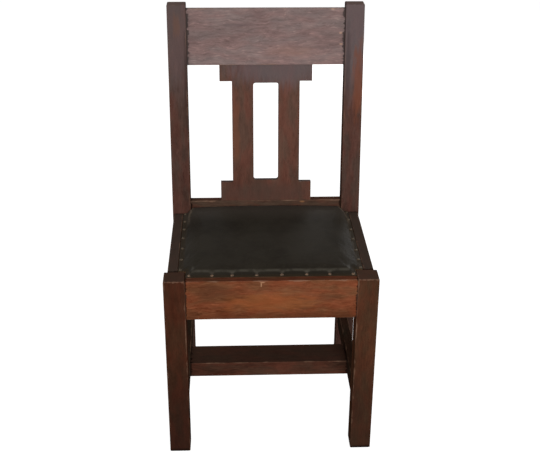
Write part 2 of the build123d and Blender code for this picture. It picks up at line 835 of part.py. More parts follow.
# Leather tacks with domed heads, a row along the front and one along each side
leather_top = Plane.XY.offset(frame_top + leather_thickness)
for name, places in (("front", front_tacks), *side_tacks.items()):
    with BuildPart() as tack_row:
        rod(leather_top, places, tack_head_diameter, tack_head_height)
        fillet(tack_row.edges().group_by(Axis.Z)[-1], tack_head_height - tack_gap)
        rod(leather_top, places, tack_shank_diameter, -tack_shank_length - leather_thickness)
    finish(tack_row, f"leather_tacks_{name}")

# Flat tacks under the rear of the seat frame
with BuildPart() as rear_tack_row:
    leather_under = Plane.XY.offset(frame_z[0] - leather_thickness)
    rod(leather_under, rear_tacks, webbing_tack_head_diameter, -webbing_tack_head_height)
    rod(leather_under, rear_tacks, tack_shank_diameter, leather_thickness + tack_shank_length)
finish(rear_tack_row, "leather_tacks_rear")
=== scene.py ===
"""Mission side chair: the looks of its stained oak, tacked leather seat and jute webbing.

Metres, +Z up, front of the chair towards -Y. Each section dresses or makes one group of pieces.
"""

import math

import bmesh
import bpy
from mathutils import Matrix, Vector


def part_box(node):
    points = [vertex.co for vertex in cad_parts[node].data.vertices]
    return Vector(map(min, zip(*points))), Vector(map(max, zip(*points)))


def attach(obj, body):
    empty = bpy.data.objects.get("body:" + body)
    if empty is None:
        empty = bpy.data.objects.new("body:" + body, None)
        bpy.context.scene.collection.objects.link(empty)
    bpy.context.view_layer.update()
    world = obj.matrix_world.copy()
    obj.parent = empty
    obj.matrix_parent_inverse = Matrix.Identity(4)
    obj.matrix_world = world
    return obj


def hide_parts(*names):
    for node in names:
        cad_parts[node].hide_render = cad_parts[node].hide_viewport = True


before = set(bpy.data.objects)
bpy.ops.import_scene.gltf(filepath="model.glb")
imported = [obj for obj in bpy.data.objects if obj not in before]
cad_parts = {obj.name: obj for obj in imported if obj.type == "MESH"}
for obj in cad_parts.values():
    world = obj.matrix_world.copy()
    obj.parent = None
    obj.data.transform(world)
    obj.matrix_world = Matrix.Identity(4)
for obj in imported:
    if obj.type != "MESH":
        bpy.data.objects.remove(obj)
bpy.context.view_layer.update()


# Front legs
# Two square oak posts, stained dark, with the grain upright and the tops flush with the rail.
# Rubbed pale along the arrises, above all on the inner edges below the rail.
leg_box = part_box("front_leg_right")
leg_size = leg_box[1].x - leg_box[0].x
leg_inner = leg_box[0].x
leg_back = leg_box[1].y
seat_height = leg_box[1].z
chair_front = leg_box[0].y


def fill_sockets(tree, node, fill):
    """Link or fill a shader node's inputs, by name or by number."""
    for socket, value in fill.items():
        if isinstance(value, bpy.types.NodeSocket):
            tree.links.new(value, node.inputs[socket])
        else:
            node.inputs[socket].default_value = value


def put(tree, kind, fill=None, **settings):
    """Add a shader node, set its options, and link or fill its inputs."""
    across, down, in_a_row = 240, -260, 12
    node = tree.nodes.new(kind)
    row, column = divmod(len(tree.nodes), in_a_row)
    node.location = (across * column, down * row)
    for option, value in settings.items():
        setattr(node, option, value)
    fill_sockets(tree, node, fill or {})
    return node


def calc(tree, operation, *values):
    """A math node's result."""
    return put(tree, "ShaderNodeMath", dict(enumerate(values)), operation=operation).outputs[0]


def vector_calc(tree, operation, *values):
    """A vector math node's result."""
    node = put(tree, "ShaderNodeVectorMath", dict(enumerate(values)), operation=operation)
    return node.outputs["Value" if operation == "LENGTH" else "Vector"]


def product(tree, *values):
    """Values multiplied together."""
    result = values[0]
    for value in values[1:]:
        result = calc(tree, "MULTIPLY", result, value)
    return result


def split(tree, vector):
    """A vector's X, Y and Z."""
    return put(tree, "ShaderNodeSeparateXYZ", {"Vector": vector}).outputs


def ramp(tree, value, low, high, start=0.0, end=1.0):
    """A value eased from start to end as it goes from low to high."""
    fill = {"Value": value, "From Min": low, "From Max": high, "To Min": start, "To Max": end}
    return put(tree, "ShaderNodeMapRange", fill, interpolation_type="SMOOTHSTEP").outputs["Result"]


def blend_colour(tree, factor, first, second, kind="MIX"):
    """Two colours mixed by a factor."""
    fill = {0: factor, 6: first, 7: second}
    return put(tree, "ShaderNodeMix", fill, data_type="RGBA", blend_type=kind).outputs[2]


def noise(tree, place, scale, detail=2.0, squeeze=(1.0, 1.0, 1.0)):
    """Noise read at a place, drawn out along any axis that is squeezed."""
    drawn = vector_calc(tree, "MULTIPLY", place, squeeze)
    fill = {"Vector": drawn, "Scale": scale, "Detail": detail}
    return put(tree, "ShaderNodeTexNoise", fill).outputs["Fac"]


def new_group(name, inputs, outputs):
    """An empty shader group with named sockets: its tree, what comes in and what goes out."""
    tree = bpy.data.node_groups.new(name, "ShaderNodeTree")
    for label, kind in inputs:
        tree.interface.new_socket(label, in_out="INPUT", socket_type="NodeSocket" + kind)
    for label, kind in outputs:
        tree.interface.new_socket(label, in_out="OUTPUT", socket_type="NodeSocket" + kind)
    start = tree.nodes.new("NodeGroupInput")
    end = tree.nodes.new("NodeGroupOutput")
    return tree, start.outputs, end.inputs


def use_group(tree, group, fill):
    """A group placed in a material with its own values."""
    return put(tree, "ShaderNodeGroup", fill, node_tree=group).outputs


def new_material(name):
    """A material with its tree and its Principled shader."""
    material = bpy.data.materials.new(name)
    material.use_nodes = True
    return material, material.node_tree, material.node_tree.nodes["Principled BSDF"]


def object_place(tree):
    """The point of the object that is being shaded."""
    return put(tree, "ShaderNodeTexCoord").outputs["Object"]


def bumps(tree, height, strength, distance):
    """A normal tilted by a height."""
    fill = {"Height": height, "Strength": strength, "Distance": distance}
    return put(tree, "ShaderNodeBump", fill).outputs["Normal"]


def shade(red, green, blue):
    """A colour as it looks on a screen, from 0 to 255, made linear for a shader."""
    return tuple((part / 255) ** 2.2 for part in (red, green, blue)) + (1.0,)


def oak_figure_group():
    """Grain of an oak board that runs along its own Z: growth rings, streaks, pores and dashes."""
    tree, given, made = new_group(
        "oak_figure",
        [("Along", "Vector"), ("Dark", "Color"), ("Light", "Color"), ("Dashes", "Float"),
         ("Streaks", "Float"), ("Warmth", "Float")],
        [("Color", "Color"), ("Roughness", "Float"), ("Height", "Float")],
    )
    ripple = put(tree, "ShaderNodeTexNoise", {"Vector": given["Along"], "Scale": 26.0, "Detail": 1.0})
    drift = vector_calc(tree, "SUBTRACT", ripple.outputs["Color"], (0.5, 0.5, 0.5))
    sideways = vector_calc(tree, "MULTIPLY", drift, (0.012, 0.012, 0.0))
    along = vector_calc(tree, "ADD", given["Along"], sideways)
    ring_fill = {"Vector": along, "Scale": 62.0, "Distortion": 2.0, "Detail": 2.0}
    rings = put(
        tree, "ShaderNodeTexWave", ring_fill, wave_type="RINGS", rings_direction="Z").outputs["Fac"]
    tone = noise(tree, along, 15.0, 3.0, (1.0, 1.0, 0.25))
    mottle = noise(tree, along, 75.0, 4.0, (1.0, 1.0, 0.4))
    streaks = noise(tree, along, 330.0, 3.0, (1.0, 1.0, 0.08))
    pores = ramp(tree, noise(tree, along, 1300.0, 1.0, (1.0, 1.0, 0.05)), 0.58, 0.7)
    dashes = ramp(tree, noise(tree, along, 260.0, 2.0, (1.0, 1.0, 0.2)), 0.56, 0.72)
    ring_share, tone_share, mottle_share, pore_share = 0.07, 0.9, 0.7, -0.28
    even = 0.5 - 0.5 * (ring_share + tone_share + mottle_share)
    mix = calc(tree, "MULTIPLY_ADD", rings, ring_share, even)
    mix = calc(tree, "MULTIPLY_ADD", tone, tone_share, mix)
    mix = calc(tree, "MULTIPLY_ADD", mottle, mottle_share, mix)
    mix = calc(tree, "MULTIPLY_ADD", calc(tree, "SUBTRACT", streaks, 0.5), given["Streaks"], mix)
    mix = calc(tree, "MULTIPLY_ADD", dashes, given["Dashes"], mix)
    mix = calc(tree, "MULTIPLY_ADD", pores, pore_share, mix)
    mix = calc(tree, "MINIMUM", calc(tree, "MAXIMUM", mix, 0.0), 1.0)
    colour = blend_colour(tree, mix, given["Dark"], given["Light"])
    elsewhere = vector_calc(tree, "ADD", along, (3.0, 5.0, 0.0))
    warm = ramp(tree, noise(tree, elsewhere, 45.0, 4.0, (1.0, 1.0, 0.3)), 0.36, 0.64)
    cool_tint, warm_tint = (0.9, 1.03, 1.02, 1.0), (1.14, 0.96, 0.92, 1.0)
    tint = blend_colour(tree, warm, cool_tint, warm_tint)
    tree.links.new(blend_colour(tree, given["Warmth"], colour, tint, "MULTIPLY"), made["Color"])
    rough = calc(tree, "MULTIPLY_ADD", pores, 0.2, 0.42)
    tree.links.new(calc(tree, "MULTIPLY_ADD", streaks, 0.12, rough), made["Roughness"])
    height = calc(tree, "MULTIPLY_ADD", pores, -0.8, streaks)
    tree.links.new(calc(tree, "MULTIPLY_ADD", dashes, 0.3, height), made["Height"])
    return tree


def board_wear_group():
    """Where a board is rubbed along its arrises, where its end grain shows, and where its joints are."""
    tree, given, made = new_group(
        "board_wear",
        [("Along", "Vector"), ("Half Size", "Vector"), ("Reach", "Float"), ("Amount", "Float"),
         ("Joint Reach", "Float")],
        [("Worn", "Float"), ("End Grain", "Float"), ("Joint", "Float")],
    )
    along = given["Along"]
    inside = vector_calc(tree, "SUBTRACT", given["Half Size"], vector_calc(tree, "ABSOLUTE", along))
    inside = vector_calc(tree, "MAXIMUM", inside, (0.0, 0.0, 0.0))
    parts = split(tree, inside)
    least = calc(tree, "MINIMUM", calc(tree, "MINIMUM", parts["X"], parts["Y"]), parts["Z"])
    most = calc(tree, "MAXIMUM", calc(tree, "MAXIMUM", parts["X"], parts["Y"]), parts["Z"])
    total = calc(tree, "ADD", calc(tree, "ADD", parts["X"], parts["Y"]), parts["Z"])
    to_edge = calc(tree, "SUBTRACT", calc(tree, "SUBTRACT", total, least), most)
    ragged = noise(tree, along, 160.0, 4.0, (1.0, 1.0, 0.35))
    patchy = ramp(tree, noise(tree, along, 22.0, 3.0), 0.38, 0.62, 0.25, 1.0)
    uneven = calc(tree, "MAXIMUM", calc(tree, "MULTIPLY_ADD", ragged, 5.0, -1.5), 0.05)
    reach = product(tree, given["Reach"], uneven, patchy)
    start, end = product(tree, reach, 0.3), calc(tree, "ADD", reach, 0.0002)
    near = ramp(tree, to_edge, start, end, 1.0, 0.0)
    tree.links.new(product(tree, near, given["Amount"], patchy), made["Worn"])
    tree.links.new(ramp(tree, parts["Z"], 0.0003, 0.0009, 1.0, 0.0), made["End Grain"])
    soft = product(tree, given["Joint Reach"], uneven)
    start, end = product(tree, soft, 0.4), calc(tree, "ADD", soft, 0.0004)
    tree.links.new(ramp(tree, parts["Z"], start, end, 1.0, 0.0), made["Joint"])
    return tree


def patch_group():
    """A soft-edged patch at one place of a board, ragged along its grain."""
    tree, given, made = new_group(
        "patch",
        [("Place", "Vector"), ("Along", "Vector"), ("Centre", "Vector"), ("Size", "Vector"),
         ("Raggedness", "Float")],
        [("Patch", "Float")],
    )
    offset = vector_calc(tree, "SUBTRACT", given["Place"], given["Centre"])
    distance = vector_calc(tree, "LENGTH", vector_calc(tree, "DIVIDE", offset, given["Size"]))
    rag = calc(tree, "SUBTRACT", noise(tree, given["Along"], 150.0, 4.0, (1.0, 1.0, 0.2)), 0.5)
    distance = calc(tree, "MULTIPLY_ADD", rag, given["Raggedness"], distance)
    tree.links.new(ramp(tree, distance, 0.35, 1.0, 1.0, 0.0), made["Patch"])
    return tree


oak_figure = oak_figure_group()
board_wear = board_wear_group()
patch = patch_group()
worn_oak = shade(149, 116, 96)
end_grain_oak = shade(82, 66, 58)
# Near-black brown: dirt and dark finish, used also for painted shade at the joints and at the foot of
# the legs.
joint_dirt = shade(30, 20, 16)


def dress(node, material):
    """Give a CAD node its material."""
    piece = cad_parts[node]
    piece.data.materials.clear()
    piece.data.materials.append(material)


def dress_board(node, turn, middle, half_size, dark, light, wood="oak", worn=0.6, reach=0.0028,
                joint=0.0, dashes=0.1, streaks=0.55, warmth=1.0, gloss=0.0, polish=0.05,
                patches=(), dark_sides=0.0, top=None, along_from=None):
    """Dress one board in wood. Its own Z runs along the grain, and turn is its rotation."""
    material, tree, finish = new_material(f"{wood}_{node}")
    place = object_place(tree)
    settled = along_from(tree, place) if along_from else place
    fill = {"Vector": settled, "Location": middle, "Rotation": turn}
    along = put(tree, "ShaderNodeMapping", fill, vector_type="TEXTURE").outputs[0]
    from_pith = (0.11 + 0.3 * middle[0], 0.07 + 0.4 * middle[2], middle[1])
    pith = vector_calc(tree, "ADD", along, from_pith)
    figure = use_group(tree, oak_figure, {
        "Along": pith, "Dark": dark, "Light": light,
        "Dashes": dashes, "Streaks": streaks, "Warmth": warmth})
    wear = use_group(tree, board_wear, {
        "Along": along, "Half Size": half_size, "Reach": reach, "Amount": worn, "Joint Reach": joint})
    colour = figure["Color"]
    for centre, size, tint, strength, raggedness in patches:
        spot = use_group(tree, patch, {
            "Place": place, "Along": along, "Centre": centre, "Size": size,
            "Raggedness": raggedness})["Patch"]
        colour = blend_colour(tree, product(tree, spot, strength), colour, tint)
    facing = split(tree, put(tree, "ShaderNodeTexCoord").outputs["Normal"])
    if dark_sides:
        side = ramp(tree, calc(tree, "ABSOLUTE", facing["Y"]), 0.3, 0.8, dark_sides, 0.0)
        colour = blend_colour(tree, side, colour, joint_dirt)
    colour = blend_colour(tree, product(tree, wear["End Grain"], 0.6), colour, end_grain_oak)
    # A tint on the top faces only: painted light where it is lighter than the board, painted shade where
    # it is darker.
    if top:
        painted_top_tint, painted_top_strength = top
        painted_top_shading = ramp(tree, facing["Z"], 0.8, 0.98, 0.0, painted_top_strength)
        colour = blend_colour(tree, painted_top_shading, colour, painted_top_tint)
    colour = blend_colour(tree, wear["Worn"], colour, worn_oak)
    # Darker at the board's ends where it meets other pieces: dark finish gathered there, and painted
    # shade in the corners.
    if joint:
        colour = blend_colour(tree, product(tree, wear["Joint"], 0.85), colour, joint_dirt)
    rougher_ends = calc(tree, "MULTIPLY_ADD", wear["End Grain"], 0.2, 0.2)
    fill_sockets(tree, finish, {
        "Base Color": colour, "Roughness": calc(tree, "ADD", rougher_ends, figure["Roughness"]),
        "Normal": bumps(tree, figure["Height"], 0.35, 0.0004), "Specular IOR Level": gloss})
    if polish:
        broad_face = ramp(tree, calc(tree, "ABSOLUTE", facing["Y"]), 0.6, 0.9, 0.0, polish)
        fill_sockets(tree, finish, {"Coat Weight": broad_face, "Coat Roughness": 0.4})
    dress(node, material)


upright = (0.0, 0.0, 0.0)
leg_half = (leg_size / 2, leg_size / 2, seat_height / 2)
# The left leg's colours are darker than the right's: painted shade on the left leg.
leg_colours_lit_and_shaded = {
    "left": (shade(51, 31, 22), shade(83, 52, 39)),
    "right": (shade(57, 38, 28), shade(94, 63, 47)),
}
sides = ((-1, "left"), (1, "right"))
for side, name in sides:
    middle = (side * (leg_inner + leg_size / 2), (chair_front + leg_back) / 2, seat_height / 2)
    # Painted shade: each leg darkens towards the floor, darkest at its foot.
    painted_shade_low_leg = ((side * leg_inner, chair_front, -0.04), (0.1, 0.1, 0.36), shade(38, 29, 27), 0.42, 0.5)
    painted_shade_at_floor = ((middle[0], chair_front, 0.0), (0.06, 0.06, 0.014), joint_dirt, 0.85, 0.5)
    rubbed = ((side * leg_inner, chair_front, 0.315), (0.0035, 0.0035, 0.045), worn_oak, 0.35, 1.5)
    dark, light = leg_colours_lit_and_shaded[name]
    dress_board(
        f"front_leg_{name}", upright, middle, leg_half, dark, light, worn=0.35, streaks=0.35,
        patches=[painted_shade_low_leg, painted_shade_at_floor, rubbed])


# Rear legs
# One oak piece each from floor to top, upright under the seat and raked above it.
# The grain follows the piece, and the upper posts are greyer and lighter: painted sheen and painted
# light that fade towards the floor.
post_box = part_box("rear_leg_right")
post_inner = post_box[0].x
post_front = post_box[0].y
post_width = post_box[1].x - post_inner
chair_top = post_box[1].z
rake = math.radians(7)
post_run = (chair_top - seat_height) * math.tan(rake)
post_depth = 0.044
post_top_depth = 0.032


def ramp_line(tree, value, low, high):
    """A value drawn from 0 to 1 in a straight line as it goes from low to high."""
    fill = {"Value": value, "From Min": low, "From Max": high}
    return put(tree, "ShaderNodeMapRange", fill, interpolation_type="LINEAR").outputs["Result"]


def straighten(tree, place):
    """The raked and tapered post drawn as an upright one, so that grain and wear follow it."""
    parts = split(tree, place)
    climb = ramp_line(tree, parts["Z"], seat_height, chair_top)
    depth = calc(tree, "SUBTRACT", parts["Y"], calc(tree, "MULTIPLY_ADD", climb, post_run, post_front))
    taper = calc(tree, "MULTIPLY_ADD", climb, post_top_depth / post_depth - 1, 1.0)
    depth = calc(tree, "ADD", calc(tree, "DIVIDE", depth, taper), post_front)
    fill = {"X": parts["X"], "Y": depth, "Z": parts["Z"]}
    return put(tree, "ShaderNodeCombineXYZ", fill).outputs["Vector"]


post_half = (post_width / 2, post_depth / 2, chair_top / 2)
# The first patch of each post is painted sheen and painted light, greyer and lighter at the top.
post_patches = {
    "left": [
        ((-0.204, 0.18, 0.87), (0.06, 0.06, 0.2), shade(105, 93, 93), 0.48, 0.6),
        ((-0.204, 0.17, 0.89), (0.012, 0.05, 0.04), shade(112, 80, 66), 0.5, 1.2),
        ((-0.185, 0.165, 0.74), (0.006, 0.05, 0.2), shade(52, 38, 34), 0.5, 0.8),
    ],
    "right": [
        ((0.204, 0.18, 0.87), (0.06, 0.06, 0.22), shade(113, 102, 104), 0.57, 0.6),
        ((0.215, 0.165, 0.76), (0.018, 0.03, 0.13), shade(124, 70, 47), 0.62, 1.3),
        ((0.190, 0.165, 0.80), (0.008, 0.05, 0.12), shade(60, 50, 50), 0.45, 1.0),
    ],
}
for side, name in sides:
    middle = (side * (post_inner + post_width / 2), post_front + post_depth / 2, chair_top / 2)
    # Their top faces are tinted lighter: painted light.
    dress_board(
        f"rear_leg_{name}", upright, middle, post_half, shade(60, 40, 34), shade(98, 72, 64),
        worn=0.25, streaks=0.4, polish=0.1, patches=post_patches[name],
        top=(shade(132, 112, 106), 0.75), along_from=straighten)


# Seat rails
# Four oak boards on edge between the legs, with their grain level, tenoned and glued.
# The front one is the brightest board of the chair, rubbed along its top and chipped once; its middle
# carries a painted pool of light, and its top face painted shade.
across = (0.0, math.pi / 2, 0.0)
fore_and_aft = (math.pi / 2, 0.0, 0.0)


def dress_boxed(node, turn, half_run, dark, light, **looks):
    """Dress a board as its box lies. half_run is half its length without tenons, if it has them."""
    low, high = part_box(node)
    x, y, z = (high - low) / 2
    broad, deep, long = {upright: (x, y, z), across: (z, y, x), fore_and_aft: (x, z, y)}[turn]
    half_size = (broad, deep, half_run or long)
    dress_board(node, turn, tuple((low + high) / 2), half_size, dark, light, **looks)


rail_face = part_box("front_seat_rail")[0].y
front_rail_patches = [
    # The first patch is a painted pool of light in the middle of the front face.
    ((0.0, rail_face, 0.392), (0.13, 0.03, 0.03), shade(156, 90, 52), 0.45, 1.2),
    ((-0.13, rail_face, 0.42), (0.05, 0.02, 0.022), shade(84, 52, 38), 0.45, 1.6),
    ((0.12, rail_face, 0.402), (0.03, 0.02, 0.012), shade(88, 54, 40), 0.35, 1.6),
    ((0.0, rail_face, 0.352), (0.4, 0.03, 0.018), shade(84, 50, 34), 0.5, 1.2),
    ((-0.022, rail_face, 0.4355), (0.002, 0.006, 0.0065), shade(180, 136, 104), 0.8, 0.9),
    ((-0.019, rail_face, 0.441), (0.007, 0.006, 0.002), shade(180, 136, 104), 0.7, 0.9),
]
# Its top face is tinted darker: painted shade.
dress_boxed(
    "front_seat_rail", across, leg_inner, shade(85, 46, 29), shade(137, 86, 61), worn=0.5,
    joint=0.003, dashes=0.25, streaks=0.9, top=(shade(60, 43, 40), 0.45), patches=front_rail_patches)

rear_rail_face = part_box("rear_seat_rail")[0].y
rear_rail_chip = ((0.088, rear_rail_face, 0.468), (0.008, 0.008, 0.003), shade(150, 106, 74), 0.8, 0.6)
dress_boxed(
    "rear_seat_rail", across, post_inner, shade(63, 45, 38), shade(106, 80, 68), worn=0.6,
    joint=0.004, patches=[rear_rail_chip])

half_side_run = (post_front - leg_back) / 2
for _, name in sides:
    # Their top faces are tinted lighter and greyer: painted light.
    dress_boxed(
        f"side_seat_rail_{name}", fore_and_aft, half_side_run, shade(46, 32, 25), shade(86, 60, 48),
        worn=0.3, joint=0.004, top=(shade(80, 72, 66), 0.6))


# Crest rail
# One wide flat-sawn oak board set back between the posts, tenoned into both.
# The palest board, with short light dashes in its grain and a dark line at each end: dark finish and
# painted shade where it meets the posts.
crest_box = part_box("crest_rail")
crest_middle = tuple((crest_box[0] + crest_box[1]) / 2)
crest_height = 0.129
crest_thickness = 0.019
crest_half = (crest_height / 2, crest_thickness / 2, post_inner)
raked_across = Matrix.Rotation(-rake, 3, "X") @ Matrix.Rotation(math.pi / 2, 3, "Y")
crest_patches = [
    ((0.1535, 0.184, 0.924), (0.006, 0.03, 0.0025), shade(196, 160, 140), 0.8, 0.5),
    ((0.173, 0.178, 0.87), (0.006, 0.03, 0.003), shade(190, 150, 128), 0.8, 0.7),
    ((0.174, 0.175, 0.845), (0.006, 0.03, 0.0025), shade(190, 150, 128), 0.8, 0.7),
    ((-0.06, 0.18, 0.889), (0.07, 0.03, 0.005), shade(92, 76, 76), 0.6, 0.8),
    ((0.06, 0.17, 0.83), (0.09, 0.03, 0.02), shade(140, 104, 92), 0.5, 0.8),
]
dress_board(
    "crest_rail", tuple(raked_across.to_euler()), crest_middle, crest_half,
    shade(94, 76, 74), shade(151, 126, 122), worn=0.4, joint=0.0052, dashes=0.35, streaks=0.8,
    warmth=0.45, gloss=0.2, polish=0.15, patches=crest_patches)


# Back splat
# One oak board with the grain upright, sawn to stepped ears and pierced by a tall slot.
# The sawn edges have stayed dark, and the face is redder towards the seat.
splat_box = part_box("back_splat")
splat_middle = tuple((splat_box[0] + splat_box[1]) / 2)
splat_thickness = 0.015
splat_length = 0.36
splat_half = (splat_box[1].x, splat_thickness / 2, splat_length / 2)
splat_patches = [
    # The first patch is painted sheen and painted light: the top of the splat is greyer and lighter.
    ((0.03, 0.17, 0.80), (0.18, 0.08, 0.075), shade(103, 95, 98), 0.58, 0.6),
    ((-0.071, 0.155, 0.64), (0.012, 0.06, 0.12), shade(118, 74, 54), 0.5, 2.0),
    ((0.0, 0.14, 0.49), (0.16, 0.06, 0.035), shade(84, 64, 56), 0.6, 0.6),
]
raked = (-rake, 0.0, 0.0)
dress_board(
    "back_splat", raked, splat_middle, splat_half, shade(70, 46, 38), shade(112, 78, 66),
    worn=0.2, streaks=0.4, polish=0.1, patches=splat_patches, dark_sides=0.6, gloss=0.05)


# Side stretchers
# Two oak bars on edge between front and rear legs, low down, each mortised for the cross bar.
# They lie in the shade, and feet have rubbed their inner top arrises.
for _, name in sides:
    dress_boxed(
        f"side_stretcher_{name}", fore_and_aft, half_side_run, shade(40, 30, 25), shade(74, 58, 48),
        worn=0.3, joint=0.003)


# Cross stretcher
# One oak bar laid flat between the side stretchers, its tenons hidden in them.
# Its top face is tinted greyer and darker, a painted shade, and shoes have brightened the front arris.
dress_boxed(
    "cross_stretcher", across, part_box("side_stretcher_right")[0].x, shade(50, 32, 26),
    shade(102, 68, 55), worn=0.5, joint=0.004, top=(shade(58, 48, 42), 0.6))


# Seat frame and corner blocks
# A loose frame of four pale boards between the rails, on glued blocks in the corners.
# Never stained, only gone brown with age and dust.
inner_boards = {
    "seat_frame_front": across, "seat_frame_rear": across,
    "seat_frame_left": fore_and_aft, "seat_frame_right": fore_and_aft,
    "corner_block_front_left": upright, "corner_block_front_right": upright,
    "corner_block_rear_left": upright, "corner_block_rear_right": upright,
}
for node, turn in inner_boards.items():
    dress_boxed(
        node, turn, None, shade(92, 68, 47), shade(142, 111, 80), wood="pale_wood", worn=0.0, polish=0.0)


# Webbing
# Six jute strips, three each way, woven over and under and tacked to the seat frame's top.
# Each is one flat band with a coloured line near both selvedges.
def deselect():
    """Leave object mode with nothing selected."""
    if bpy.context.object and bpy.context.object.mode != "OBJECT":
        bpy.ops.object.mode_set(mode="OBJECT")
    bpy.ops.object.select_all(action="DESELECT")


def select_only(piece):
    """Make a piece the one that operators act on."""
    deselect()
    bpy.context.view_layer.objects.active = piece
    piece.select_set(True)


def new_grid(name, low, high, height, cell):
    """A level grid between two corners, with cells of about one size, and its object at the origin."""
    deselect()
    columns = round((high[0] - low[0]) / cell)
    rows = round((high[1] - low[1]) / cell)
    middle = ((low[0] + high[0]) / 2, (low[1] + high[1]) / 2, height)
    bpy.ops.mesh.primitive_grid_add(x_subdivisions=columns, y_subdivisions=rows, size=1, location=middle)
    piece = bpy.context.object
    piece.name = name
    piece.scale = (high[0] - low[0], high[1] - low[1], 1.0)
    bpy.ops.object.transform_apply(location=True, rotation=True, scale=True)
    return piece


def apply_modifier(piece, kind, **settings):
    """Add a modifier to a piece, set it and apply it."""
    select_only(piece)
    modifier = piece.modifiers.new(kind.lower(), kind)
    for option, value in settings.items():
        setattr(modifier, option, value)
    bpy.ops.object.modifier_apply(modifier=modifier.name)


def smooth(piece):
    """Smooth shading, with sharp edges kept."""
    select_only(piece)
    bpy.ops.object.shade_smooth_by_angle(angle=math.radians(40))


def ease(share):
    """A share from 0 to 1, eased at both ends."""
    share = min(max(share, 0.0), 1.0)
    return share * share * (3 - 2 * share)


def weave_group():
    """Plain weave: warp and weft threads that pass over and under, with slubs."""
    tree, given, made = new_group(
        "weave",
        [("Place", "Vector"), ("Threads", "Float"), ("Dark", "Color"), ("Light", "Color")],
        [("Color", "Color"), ("Height", "Float")],
    )
    parts = split(tree, given["Place"])
    waver = 0.0024
    shift = calc(tree, "MULTIPLY_ADD", noise(tree, given["Place"], 40.0, 3.0), waver, -waver / 2)
    turns = product(tree, given["Threads"], math.pi)
    warp = calc(tree, "SINE", product(tree, calc(tree, "ADD", parts["X"], shift), turns))
    weft = calc(tree, "SINE", product(tree, calc(tree, "ADD", parts["Y"], shift), turns))
    over = product(tree, warp, weft)
    round_warp = calc(tree, "ABSOLUTE", warp)
    round_weft = calc(tree, "ABSOLUTE", weft)
    chosen = ramp(tree, over, -0.15, 0.15)
    height = calc(tree, "ADD", product(tree, round_warp, chosen),
                  product(tree, round_weft, calc(tree, "SUBTRACT", 1.0, chosen)))
    slubs = noise(tree, given["Place"], 260.0, 3.0, (1.0, 0.25, 1.0))
    tone = product(tree, height, calc(tree, "MULTIPLY_ADD", slubs, 0.9, 0.45))
    tree.links.new(blend_colour(tree, tone, given["Dark"], given["Light"]), made["Color"])
    tree.links.new(height, made["Height"])
    return tree


weave = weave_group()


def woven(name, threads, dark, light, lines=None):
    """Woven cloth, with coloured lines near the edges of a strip if it has them."""
    material, tree, finish = new_material(name)
    place = object_place(tree)
    cloth = use_group(tree, weave, {
        "Place": place, "Threads": threads, "Dark": dark, "Light": light})
    colour = cloth["Color"]
    if lines:
        axis, middle, offset, width, tint = lines
        run = split(tree, place)[axis]
        from_middle = calc(tree, "ABSOLUTE", calc(tree, "SUBTRACT", run, middle))
        from_line = calc(tree, "ABSOLUTE", calc(tree, "SUBTRACT", from_middle, offset))
        on_line = ramp(tree, from_line, width * 0.4, width * 0.6, 0.85, 0.0)
        colour = blend_colour(tree, on_line, colour, tint)
    aged = ramp(tree, noise(tree, place, 30.0, 4.0), 0.45, 0.75, 0.0, 0.5)
    fill_sockets(tree, finish, {
        "Base Color": blend_colour(tree, aged, colour, shade(96, 76, 52)), "Roughness": 0.95,
        "Normal": bumps(tree, cloth["Height"], 0.6, 0.0004), "Specular IOR Level": 0.1})
    return material


frame_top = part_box("seat_frame_front")[1].z
strip_thickness = 0.0012
strip_cell = 0.004
end_taper = 0.03
taper_run = 0.05
slope_run = 0.02
waver_height = 0.00004
line_share = 0.72
numbered = [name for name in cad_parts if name.startswith("webbing_") and name[-1].isdigit()]
strip_boxes = {name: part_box(name) for name in numbered}
strip_lines = shade(92, 34, 30)
for name, (low, high) in sorted(strip_boxes.items()):
    runs_along_y = "long" in name
    strip = new_grid(name + "_strip", low, high, frame_top + strip_thickness * 0.9, strip_cell)
    number = int(name[-1])
    crossed = [(int(other[-1]), box) for other, box in strip_boxes.items()
               if ("long" in other) != runs_along_y]
    width_axis = 0 if runs_along_y else 1
    length_axis = 1 - width_axis
    middle = (low[width_axis] + high[width_axis]) / 2
    half_width = (high[width_axis] - low[width_axis]) / 2
    for vertex in strip.data.vertices:
        run = vertex.co[length_axis]
        lift = 0.0
        for other, (other_low, other_high) in crossed:
            over = (number + other) % 2 == (0 if runs_along_y else 1)
            nearest = max(other_low[length_axis] - run, run - other_high[length_axis], 0.0)
            if over:
                lift = max(lift, strip_thickness * ease(1 - nearest / slope_run))
        to_end = min(run - low[length_axis], high[length_axis] - run)
        waist = 1 - end_taper * ease(to_end / taper_run)
        vertex.co[width_axis] = middle + (vertex.co[width_axis] - middle) * waist
        vertex.co.z += lift + waver_height * math.sin(run * 700 + number)
    apply_modifier(strip, "SOLIDIFY", thickness=strip_thickness * 0.88, offset=-1.0)
    smooth(strip)
    strip.data.materials.append(woven(
        name + "_jute", 620.0, shade(112, 90, 58), shade(196, 168, 122),
        lines=("X" if runs_along_y else "Y", middle, half_width * line_share, 0.004, strip_lines)))
    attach(strip, "root")
    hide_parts(name)


# Burlap
# One piece of coarse brown cloth laid over the webbing to carry the stuffing.
# It dips a little in the squares between the strips.
seat_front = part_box("seat_frame_front")[0].y
seat_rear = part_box("seat_leather")[1].y
seat_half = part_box("seat_leather")[1].x
clearance = 0.001
leg_notch = (leg_inner - clearance, leg_back + clearance)
post_notch = (post_inner - clearance, post_front - clearance)
burlap_low, burlap_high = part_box("seat_burlap")


